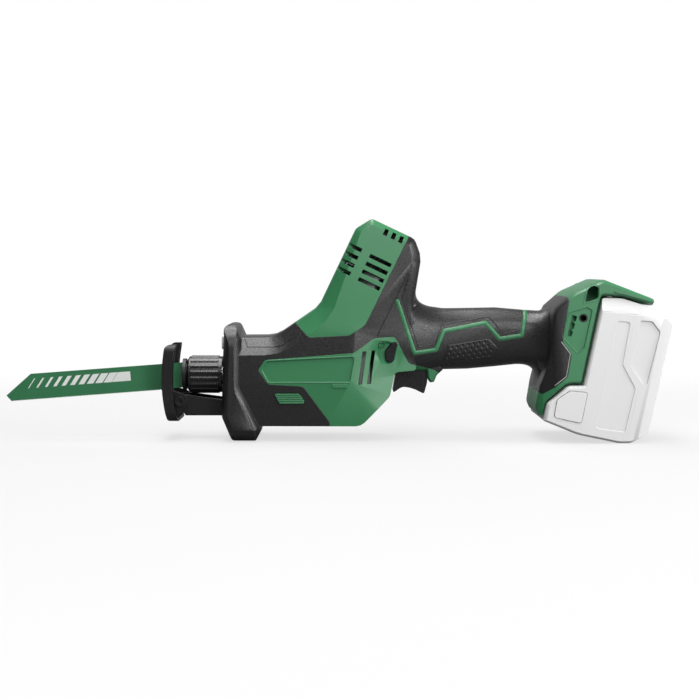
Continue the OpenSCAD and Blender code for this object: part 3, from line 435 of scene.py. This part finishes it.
def blade_paint():
    """Green paint with a plain row of pale bars."""
    material, tree, shader = new_material("printed_blade", BLADE_GREEN)
    paint = placed_group(tree, DRIFT, Color=BLADE_GREEN, Amount=PAINT_DRIFT[0], Scale=PAINT_DRIFT[1])
    mix = tree.nodes.new("ShaderNodeMix")
    mix.data_type = "RGBA"
    mix.inputs["B"].default_value = BAR_WHITE
    tree.links.new(bar_mask(tree), mix.inputs["Factor"])
    tree.links.new(paint.outputs["Color"], mix.inputs["A"])
    tree.links.new(mix.outputs["Result"], shader.inputs["Base Color"])
    skin = placed_group(tree, GRAIN, Scale=PAINT_GRAIN)
    roughness = value_node(tree, "MULTIPLY_ADD", skin.outputs["Tops"], PAINT_SPREAD, PAINT_ROUGH)
    tree.links.new(roughness, shader.inputs["Roughness"])
    add_bump(tree, shader, skin.outputs["Height"], PAINT_STRENGTH, PAINT_DEPTH)
    return material


# Finish of each slot. A moulded one has its roughness, specular level, grain per metre and the grain's depth
# in millimetres, and a machined one its roughness and how closely its lines are set in each direction
FINISHES = {
    "green_plastic": moulded("green_shell", SAW_GREEN, 0.36, 0.5, 1700.0, 0.012, edge_mm=0.5),
    "black_rubber": moulded(
        "black_overmould", SOFT_BLACK, 0.35, 0.5, 1300.0, 0.05, drift=0.1, spread=0.16, edge_mm=0.5),
    "black_plastic": moulded("black_moulding", HARD_BLACK, 0.22, 0.5, 1500.0, 0.01, edge_mm=0.4),
    "black_steel": moulded("black_coated_steel", COATED_BLACK, 0.34, 0.35, 800.0, 0.012, edge_mm=0.4),
    "pale_plastic": moulded("pale_pack", PACK_WHITE, 0.45, 0.4, 1500.0, 0.012, drift=0.02, edge_mm=0.4),
    "grey_plastic": moulded("grey_deck", DECK_GREY, 0.45, 0.4, 1500.0, 0.012),
    "cell_can": moulded("cell_sleeve", CELL_BLUE, 0.35, 0.5, 600.0, 0.01),
    "circuit_board": moulded("coated_board", BOARD_GREEN, 0.3, 0.5, 400.0, 0.02),
    "clear_lens": moulded("clear_lens", LENS_CLEAR, 0.12, 0.5, 300.0, 0.01, drift=0.02, spread=0.05),
    "bright_steel": machined("ground_steel", GROUND_STEEL, 0.22, (1.0, 14.0, 14.0)),
    "gear_steel": machined("gear_steel", GEAR_STEEL, 0.32, (6.0, 6.0, 6.0)),
    "cast_alloy": machined("cast_alloy", CAST_ALLOY, 0.4, (5.0, 5.0, 5.0), depth_mm=0.03),
    "bronze": machined("bearing_bronze", BEARING_BRONZE, 0.35, (12.0, 2.0, 2.0)),
    "brass": machined("turned_brass", TURNED_BRASS, 0.45, (2.0, 12.0, 2.0)),
    "blade_paint": blade_paint()}
# Lines whose finish isn't their slot's own: the foot's seam is pale grey, a painted highlight of its rim-lit
# edge
LINE_FINISHES = {"foot_trim": moulded("painted_highlight_grey", PAINTED_HIGHLIGHT_GREY, 0.4, 0.5, 1500.0, 0.012)}

# Edges that are sharper than this stay sharp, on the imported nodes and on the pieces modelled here
NODE_EDGE = math.radians(34)
PIECE_EDGE = math.radians(40)
# Loose points of a node that are this near each other, in millimetres, are joined
JOIN_NEAR = 0.002


def true_edges_group():
    """Modifier tree that joins a node's loose triangles and keeps only its true edges sharp."""
    tree = bpy.data.node_groups.new("true_edges", "GeometryNodeTree")
    tree.interface.new_socket("Geometry", in_out="INPUT", socket_type="NodeSocketGeometry")
    tree.interface.new_socket("Geometry", in_out="OUTPUT", socket_type="NodeSocketGeometry")
    inp = tree.nodes.new("NodeGroupInput")
    out = tree.nodes.new("NodeGroupOutput")
    join = tree.nodes.new("GeometryNodeMergeByDistance")
    join.inputs["Distance"].default_value = JOIN_NEAR * MM
    faces = tree.nodes.new("GeometryNodeSetShadeSmooth")
    edges = tree.nodes.new("GeometryNodeSetShadeSmooth")
    edges.domain = "EDGE"
    angle = tree.nodes.new("GeometryNodeInputMeshEdgeAngle")
    blunt = tree.nodes.new("FunctionNodeCompare")
    blunt.operation = "LESS_THAN"
    blunt.inputs["B"].default_value = NODE_EDGE
    tree.links.new(inp.outputs[0], join.inputs["Geometry"])
    tree.links.new(join.outputs[0], faces.inputs["Geometry"])
    tree.links.new(faces.outputs[0], edges.inputs["Geometry"])
    tree.links.new(angle.outputs["Unsigned Angle"], blunt.inputs["A"])
    tree.links.new(blunt.outputs[0], edges.inputs["Shade Smooth"])
    tree.links.new(edges.outputs[0], out.inputs[0])
    return tree


def finish_nodes():
    true_edges = true_edges_group()
    for row in frame["record"]["subparts"]:
        obj = nodes[row["node"]]
        obj.data.materials.clear()
        obj.data.materials.append(FINISHES[row["material_slot"]])
        obj.modifiers.new("true_edges", "NODES").node_group = true_edges


# Pieces modelled here, in millimetres, with places in the side view, along and up. Side -1 is the operator's
# left, which the camera sees

SIDES = (("left", -1), ("right", 1))
# How far out a line or a pad starts, clear of the saw, and between which distances from the middle a line's
# point has landed on a flank
CLEAR_OUT = 45.0
FLANK_NEAR = 1.0
FLANK_FAR = CLEAR_OUT - 1

# Size of the seed that a line grows from, its longest step, and how finely its section is rounded
LINE_SEED = 0.1
LINE_STEP = 1.5
LINE_ROUND = 4
# Lines that stand on the shells: points, half width, how far the line's middle is sunk under the surface, the
# node that carries it, without its side where each side has one, and its slot
LINES = {
    "tower_seam": (
        ((59, 123.2), (57.4, 123.6), (54, 119.9), (32.3, 76.1)),
        0.3, 0.0, "grip_", "black_rubber"),
    "panel_seam": (
        ((58.8, 121.2), (55, 119.6), (49.7, 102.5), (61.5, 67), (73.9, 69.4), (78.3, 82.9), (112.3, 88.5),
         (122.5, 76.3), (132.8, 78.6)),
        0.34, 0.0, "grip_", "black_rubber"),
    "nose_seam": (
        ((-62.6, 73.1), (-60.2, 67.4), (-41, 67.4), (-36.2, 68.5), (-28.1, 73.4)),
        0.26, 0.0, "nose_cover", "black_rubber"),
    # Seam along the foot's black and green border, in pale grey: a painted highlight of its lit edge
    "foot_trim": (
        ((161, 71.6), (167.4, 63), (164.8, 47.2), (156.8, 40.7)),
        0.32, 0.0, "grip_", "grey_plastic"),
    "stripe_crown": (
        ((46.3, 99.9), (58.8, 62.7), (74.2, 64.9), (79.9, 78.4), (109.9, 84.2), (120, 72.7), (135.7, 75.2),
         (139, 92.4)),
        2.18, 1.63, "housing_", "green_plastic"),
    "plate_rim": (
        ((15.9, 61), (-46.6, 57.9), (-50.3, 51.3), (-45.4, 42.3), (12.7, 42.3)),
        0.55, 0.2, "housing_", "green_plastic"),
    "pocket_rim": (
        ((176.2, 98.6), (187.6, 101.4), (187.6, 110.6), (183, 111.9), (178.8, 109.2), (176.2, 98.6)),
        0.4, 0.1, "housing_", "green_plastic"),
    "panel_rim": (
        ((166.4, 92.5), (161.2, 75.2), (172.4, 63.3), (177.5, 67.4), (182.9, 94.1), (178.9, 96.2),
         (166.4, 92.5)),
        0.35, 0.08, "housing_", "green_plastic"),
    "lock_mark": (
        ((32.9, 66.6), (36.9, 66.6), (36.9, 69.9), (32.9, 69.9), (32.9, 66.6)),
        0.22, 0.0, "housing_", "black_plastic"),
    "lock_mark_bow": (
        ((33.7, 69.9), (33.7, 71.2), (34.9, 72.1), (36.1, 71.2), (36.1, 69.9)),
        0.22, 0.0, "housing_", "black_plastic")}

# Grip pad: its outline, the middle and tilt of its rows, its cells and their size, how far it stands up, its
# wall, and the flat border, slope and depth of a pit
PAD_OUTLINE = ((83, 68.2), (112.4, 72.9), (119.3, 65.7), (115.3, 58.5), (79.5, 56.5))
PAD_MIDDLE = (99.0, 64.0)
PAD_TILT = math.radians(9.5)
PAD_CELLS = (24, 8)
PAD_CELL = (2.0, 3.1)
PAD_RAISE = 0.5
PAD_WALL = 0.9
PIT_BORDER = 0.25
PIT_SLOPE = 0.2
PIT_DEPTH = 0.55
# A cell that has kept this share of its size is whole
WHOLE_CELL = 0.98

# Dark walls behind the tower's vents, as painted shade, in the motor's own directions: across its axis and
# along it
MOTOR_FOOT = (-5.0, 46.0)
MOTOR_LEAN = math.radians(25.6)
VENT_SHADES = {
    "side_guide": ((-21.5, 11.0), (80.4, 93.3)),
    "top_guide": ((-11.0, 12.0), (98.7, 110.6))}
VENT_SHADE_OUT = 17.6
VENT_SHADE_CELLS = (10, 4)
VENT_SHADE_BORDER = 0.4
VENT_SHADE_POCKET = 0.3
VENT_SHADE_WALL = 0.8

# Skins that round off inside corners of the overmould: the corner's place, the way that it opens, and the
# skin's length, seen that way
FILLETS = {
    "tower_fillet": ((59.3, 98.8), (0.8, 0.6), 38.0),
    "foot_fillet": ((146.5, 51.9), (-0.75, -0.66), 21.0)}
FILLET_WIDTH = 30.0
FILLET_CELL = 0.8
FILLET_ROUND = 420
FILLET_EASE = 0.5
FILLET_FROM = 25.0
FILLET_WALL = 0.5
# Points of a grid with sides of 1 that are nearer its middle than this aren't on its rim
GRID_INNER = 0.499


def only(obj):
    """Selects one object and nothing else."""
    bpy.ops.object.select_all(action="DESELECT")
    obj.select_set(True)
    bpy.context.view_layer.objects.active = obj


def unselect_inside(obj, kind):
    """Leaves nothing selected in a mesh, so that points or faces of it can be picked in code."""
    only(obj)
    bpy.ops.object.mode_set(mode="EDIT")
    bpy.ops.mesh.select_mode(type=kind)
    bpy.ops.mesh.select_all(action="DESELECT")
    bpy.ops.object.mode_set(mode="OBJECT")


def apply_modifier(obj, kind, **settings):
    only(obj)
    modifier = obj.modifiers.new(kind.lower(), kind)
    for label, value in settings.items():
        setattr(modifier, label, value)
    bpy.ops.object.modifier_apply(modifier=modifier.name)


def lay_on(obj, node, side, sink=0.0):
    """Presses a piece straight in from its side until it lies on a node, or that far under its surface."""
    apply_modifier(
        obj, "SHRINKWRAP", target=nodes[node], wrap_method="PROJECT", wrap_mode="ABOVE_SURFACE",
        offset=-sink * MM, use_project_y=True, use_positive_direction=side < 0,
        use_negative_direction=side > 0)


def finish_piece(obj, body, material):
    only(obj)
    bpy.ops.object.shade_smooth_by_angle(angle=PIECE_EDGE)
    obj.data.materials.clear()
    obj.data.materials.append(material)
    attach(obj, body)


def add_grid(name, cells):
    """Flat grid with sides of 1, in so many cells along and across."""
    bpy.ops.object.select_all(action="DESELECT")
    bpy.ops.mesh.primitive_grid_add(x_subdivisions=cells[0], y_subdivisions=cells[1], size=1)
    grid = bpy.context.object
    grid.name = name
    return grid


def place_grid(grid, size, turn, place):
    """Sizes, turns and places a grid, and keeps that in its mesh."""
    grid.scale = (size[0] * MM, size[1] * MM, 1)
    grid.rotation_euler = turn
    grid.location = [value * MM for value in place]
    bpy.ops.object.transform_apply(location=True, rotation=True, scale=True)


def side_line(name, points, side):
    """Chain of short edges through points of the side view, clear of the saw's flank."""
    bpy.ops.object.select_all(action="DESELECT")
    first = points[0]
    bpy.ops.mesh.primitive_plane_add(
        size=LINE_SEED * MM, location=(first[0] * MM, side * CLEAR_OUT * MM, first[1] * MM))
    line = bpy.context.object
    line.name = name
    bpy.ops.object.transform_apply(location=True, rotation=True, scale=True)
    bpy.ops.object.mode_set(mode="EDIT")
    bpy.ops.mesh.select_mode(type="VERT")
    bpy.ops.mesh.select_all(action="SELECT")
    bpy.ops.mesh.merge(type="CENTER")
    for start, end in zip(points, points[1:]):
        steps = math.ceil(math.dist(start, end) / LINE_STEP)
        move = ((end[0] - start[0]) * MM / steps, 0, (end[1] - start[1]) * MM / steps)
        for _ in range(steps):
            bpy.ops.mesh.extrude_region_move(TRANSFORM_OT_translate={"value": move})
    bpy.ops.object.mode_set(mode="OBJECT")
    return line


def drop_missed(line, side):
    """Takes out the points that fell past the flank, as into a screw hole, and those that met nothing."""
    unselect_inside(line, "VERT")
    for vertex in line.data.vertices:
        vertex.select = not FLANK_NEAR < side * vertex.co.y / MM < FLANK_FAR
    bpy.ops.object.mode_set(mode="EDIT")
    bpy.ops.mesh.delete(type="VERT")
    bpy.ops.object.mode_set(mode="OBJECT")


def add_line(name, points, half_width, sink, node, slot, side):
    """Moulded line that stands on a shell: a seam, a rim, a sign, or the crown of a stripe. The foot's seam
    is pale grey, a painted highlight.
    """
    line = side_line(name, points, side)
    lay_on(line, node, side, sink)
    drop_missed(line, side)
    only(line)
    bpy.ops.object.convert(target="CURVE")
    line.data.bevel_depth = half_width * MM
    line.data.bevel_resolution = LINE_ROUND
    line.data.use_fill_caps = True
    bpy.ops.object.convert(target="MESH")
    kind = name.rpartition("_")[0]
    finish_piece(line, "housing", LINE_FINISHES.get(kind, FINISHES[slot]))


def pad_place(point):
    """Place of a point on the grip pad, along and across its rows, in cells from its corner."""
    across = point[0] / MM - PAD_MIDDLE[0]
    up = point[2] / MM - PAD_MIDDLE[1]
    along = across * math.cos(PAD_TILT) + up * math.sin(PAD_TILT)
    rise = up * math.cos(PAD_TILT) - across * math.sin(PAD_TILT)
    return along / PAD_CELL[0] + PAD_CELLS[0] / 2, rise / PAD_CELL[1] + PAD_CELLS[1] / 2


def select_pits(pad):
    """Selects every second whole cell of the pad, like the dark squares of a chessboard."""
    whole_area = WHOLE_CELL * PAD_CELL[0] * PAD_CELL[1] * MM * MM
    for face in pad.data.polygons:
        column, row = (math.floor(value) for value in pad_place(face.center))
        corners = [pad_place(pad.data.vertices[index].co) for index in face.vertices]
        wide, tall = (max(values) - min(values) for values in zip(*corners))
        whole = len(corners) == 4 and wide * tall > WHOLE_CELL and face.area >= whole_area
        face.select = whole and (column + row) % 2 == 0


def add_grip_pad(name, side):
    """Grip pad under the fingers, with staggered pits."""
    pad = add_grid(name, PAD_CELLS)
    size = [count * cell for count, cell in zip(PAD_CELLS, PAD_CELL)]
    turn = (-side * math.pi / 2, -PAD_TILT, 0)
    place_grid(pad, size, turn, (PAD_MIDDLE[0], side * CLEAR_OUT, PAD_MIDDLE[1]))
    bpy.ops.object.mode_set(mode="EDIT")
    for start, end in zip(PAD_OUTLINE, PAD_OUTLINE[1:] + PAD_OUTLINE[:1]):
        bpy.ops.mesh.select_all(action="SELECT")
        outward = Vector((start[1] - end[1], 0, end[0] - start[0])).normalized()
        bpy.ops.mesh.bisect(plane_co=(start[0] * MM, 0, start[1] * MM), plane_no=outward, clear_outer=True)
    bpy.ops.object.mode_set(mode="OBJECT")
    lay_on(pad, "grip_left" if side < 0 else "grip_right", side)
    apply_modifier(pad, "DISPLACE", strength=PAD_RAISE * MM, mid_level=0.0)
    unselect_inside(pad, "FACE")
    select_pits(pad)
    bpy.ops.object.mode_set(mode="EDIT")
    bpy.ops.mesh.inset(thickness=PIT_BORDER * MM, depth=0, use_individual=True)
    bpy.ops.mesh.inset(thickness=PIT_SLOPE * MM, depth=-PIT_DEPTH * MM, use_individual=True)
    bpy.ops.object.mode_set(mode="OBJECT")
    apply_modifier(pad, "SOLIDIFY", thickness=PAD_WALL * MM, offset=-1.0)
    apply_modifier(pad, "SUBSURF", levels=1, render_levels=1)
    finish_piece(pad, "housing", FINISHES["black_rubber"])


def add_vent_shade(name, across, along, side):
    """Dark wall behind the tower's vents, a painted shade that keeps the vent slots dark, with rows of
    shallow pockets.
    """
    shade_wall = add_grid(name, VENT_SHADE_CELLS)
    out = sum(across) / 2
    up = sum(along) / 2
    x = MOTOR_FOOT[0] + out * math.cos(MOTOR_LEAN) + up * math.sin(MOTOR_LEAN)
    z = MOTOR_FOOT[1] - out * math.sin(MOTOR_LEAN) + up * math.cos(MOTOR_LEAN)
    turn = (-side * math.pi / 2, MOTOR_LEAN, 0)
    place_grid(shade_wall, (across[1] - across[0], along[1] - along[0]), turn, (x, side * VENT_SHADE_OUT, z))
    bpy.ops.object.mode_set(mode="EDIT")
    bpy.ops.mesh.select_all(action="SELECT")
    bpy.ops.mesh.inset(thickness=VENT_SHADE_BORDER * MM, depth=-VENT_SHADE_POCKET * MM, use_individual=True)
    bpy.ops.object.mode_set(mode="OBJECT")
    apply_modifier(shade_wall, "SOLIDIFY", thickness=VENT_SHADE_WALL * MM, offset=-1.0)
    finish_piece(shade_wall, "housing", FINISHES["black_rubber"])


def add_fillet(name, corner, way, length):
    """Skin laid in an inside corner of the overmould and eased, with its rim held, to round it off."""
    cells = [2 * math.ceil(size / FILLET_CELL / 2) + 1 for size in (length, FILLET_WIDTH)]
    skin = add_grid(name, cells)
    inner = [vertex.index for vertex in skin.data.vertices if max(map(abs, vertex.co)) < GRID_INNER]
    skin.vertex_groups.new(name="inner").add(inner, 1, "REPLACE")
    x, z = (start + step * FILLET_FROM for start, step in zip(corner, way))
    place_grid(skin, (length, FILLET_WIDTH), (0, math.atan2(way[0], way[1]), 0), (x, 0, z))
    apply_modifier(
        skin, "SHRINKWRAP", target=nodes["grip_left"], auxiliary_target=nodes["grip_right"],
        wrap_method="PROJECT", use_positive_direction=False, use_negative_direction=True)
    apply_modifier(skin, "SMOOTH", factor=FILLET_EASE, iterations=FILLET_ROUND, vertex_group="inner")
    apply_modifier(skin, "SOLIDIFY", thickness=FILLET_WALL * MM, offset=-1.0)
    finish_piece(skin, "housing", FINISHES["black_rubber"])


def add_mouldings():
    for name, (corner, way, length) in FILLETS.items():
        add_fillet(name, corner, way, length)
    for label, side in SIDES:
        # Dark walls behind the vents: painted shade for the vent slots
        for name, (across, along) in VENT_SHADES.items():
            add_vent_shade(name + "_" + label, across, along, side)
        for name, (points, half_width, sink, carrier, slot) in LINES.items():
            node = carrier + label if carrier.endswith("_") else carrier
            add_line(name + "_" + label, points, half_width, sink, node, slot, side)
        add_grip_pad("grip_pad_" + label, side)


add_camera()
add_world()
add_floor()
for lamp_name, lamp_values in LAMPS.items():
    add_softbox(lamp_name, *lamp_values)
finish_nodes()
add_mouldings()
scene.view_settings.view_transform = "Standard"
